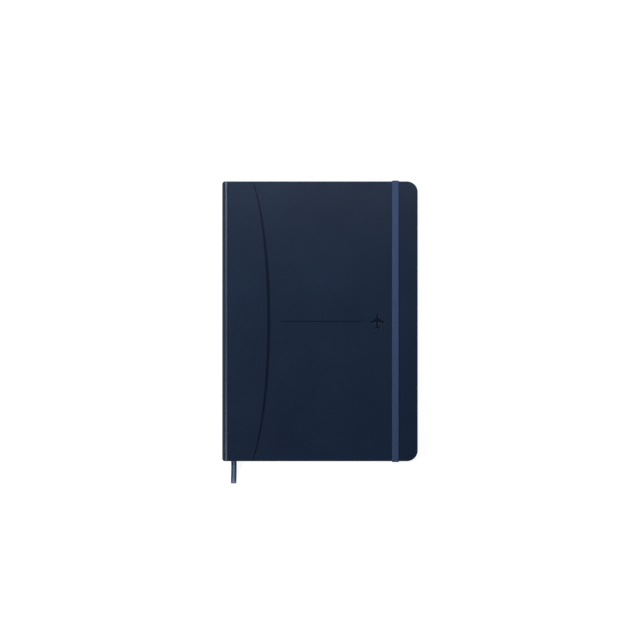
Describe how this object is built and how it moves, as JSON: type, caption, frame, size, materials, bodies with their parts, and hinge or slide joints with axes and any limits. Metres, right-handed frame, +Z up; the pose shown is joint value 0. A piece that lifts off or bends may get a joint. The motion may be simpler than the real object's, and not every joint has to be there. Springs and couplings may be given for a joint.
{
  "type": "pilot logbook",
  "caption": "A5 case-bound logbook with opening covers, sewn signatures, ribbon marker and an elastic band that swings behind the back cover.",
  "frame": {"origin": "centre of the back cover's outer face, which the book lies on", "axes": "+Z up out of the front cover, +Y towards the head of the book, +X towards the fore edge, spine at -X"},
  "size_m": [0.151, 0.2345, 0.0158],
  "materials": {
    "leatherette": "satin",
    "greyboard": "matte",
    "endpaper": "matte",
    "page_paper": "matte",
    "lining_paper": "matte",
    "mull_cloth": "matte",
    "thread": "matte",
    "end_band": "satin",
    "ribbon": "satin",
    "elastic": "matte"
  },
  "bodies": {
    "text_block": {"signature_01_gutter": "page_paper", "signature_02": "page_paper", "signature_03": "page_paper", "signature_04": "page_paper", "signature_05": "page_paper", "signature_06": "page_paper", "signature_07": "page_paper", "signature_08": "page_paper", "signature_09": "page_paper", "signature_10": "page_paper", "spine_lining": "lining_paper", "spine_mull": "mull_cloth", "sewing_thread": "thread", "head_band": "end_band", "tail_band": "end_band", "spine_board": "greyboard", "spine_leather": "leatherette", "front_hinge_leather": "leatherette", "back_hinge_leather": "leatherette", "front_endpaper_joint": "endpaper", "back_endpaper_joint": "endpaper", "rear_flyleaf": "endpaper", "ribbon_marker": "ribbon"},
    "front_cover": {"front_board": "greyboard", "front_leather": "leatherette", "front_pastedown": "endpaper"},
    "back_cover": {"back_board": "greyboard", "back_leather": "leatherette", "back_pastedown": "endpaper", "elastic_end_head": "elastic", "elastic_end_tail": "elastic"},
    "front_leaf": {"front_flyleaf": "endpaper"},
    "first_leaves": {"signature_01_leaves": "page_paper"},
    "elastic_legs": {"elastic_leg_head": "elastic", "elastic_leg_tail": "elastic"},
    "elastic_band": {"elastic_strip": "elastic"}
  },
  "joints": [
    {"name": "front_cover_open", "type": "hinge", "parent": "text_block", "child": "front_cover", "pos_m": [-0.0734, 0, 0.01265], "axis": [0, -1, 0], "range_deg": [0, 179], "deforming": ["front_hinge_leather", "front_endpaper_joint"]},
    {"name": "front_flyleaf_turn", "type": "hinge", "parent": "text_block", "child": "front_leaf", "pos_m": [-0.0734, 0, 0.01265], "axis": [0, -1, 0], "range_deg": [0, 174]},
    {"name": "first_leaves_turn", "type": "hinge", "parent": "text_block", "child": "first_leaves", "pos_m": [-0.0734, 0, 0.01265], "axis": [0, -1, 0], "range_deg": [0, 170.5]},
    {"name": "back_cover_open", "type": "hinge", "parent": "text_block", "child": "back_cover", "pos_m": [-0.0734, 0, 0.00255], "axis": [0, 1, 0], "range_deg": [0, 179], "deforming": ["back_hinge_leather", "back_endpaper_joint"]},
    {"name": "elastic_swing", "type": "hinge", "parent": "back_cover", "child": "elastic_legs", "pos_m": [0.0755, 0, 0.0076], "axis": [0, 1, 0], "range_deg": [0, 310.4], "deforming": ["elastic_leg_head", "elastic_leg_tail"]},
    {"name": "elastic_roll", "type": "hinge", "parent": "elastic_legs", "child": "elastic_band", "pos_m": [0.05835, 0, 0.01555], "axis": [0, 1, 0], "range_deg": [-130.5, 0], "deforming": ["elastic_strip"]}
  ],
  "couplings": [
    {"joint": "front_flyleaf_turn", "follows": "front_cover_open", "ratio": 0.97},
    {"joint": "first_leaves_turn", "follows": "front_cover_open", "ratio": 0.95},
    {"joint": "elastic_roll", "follows": "elastic_swing", "ratio": -0.42}
  ]
}
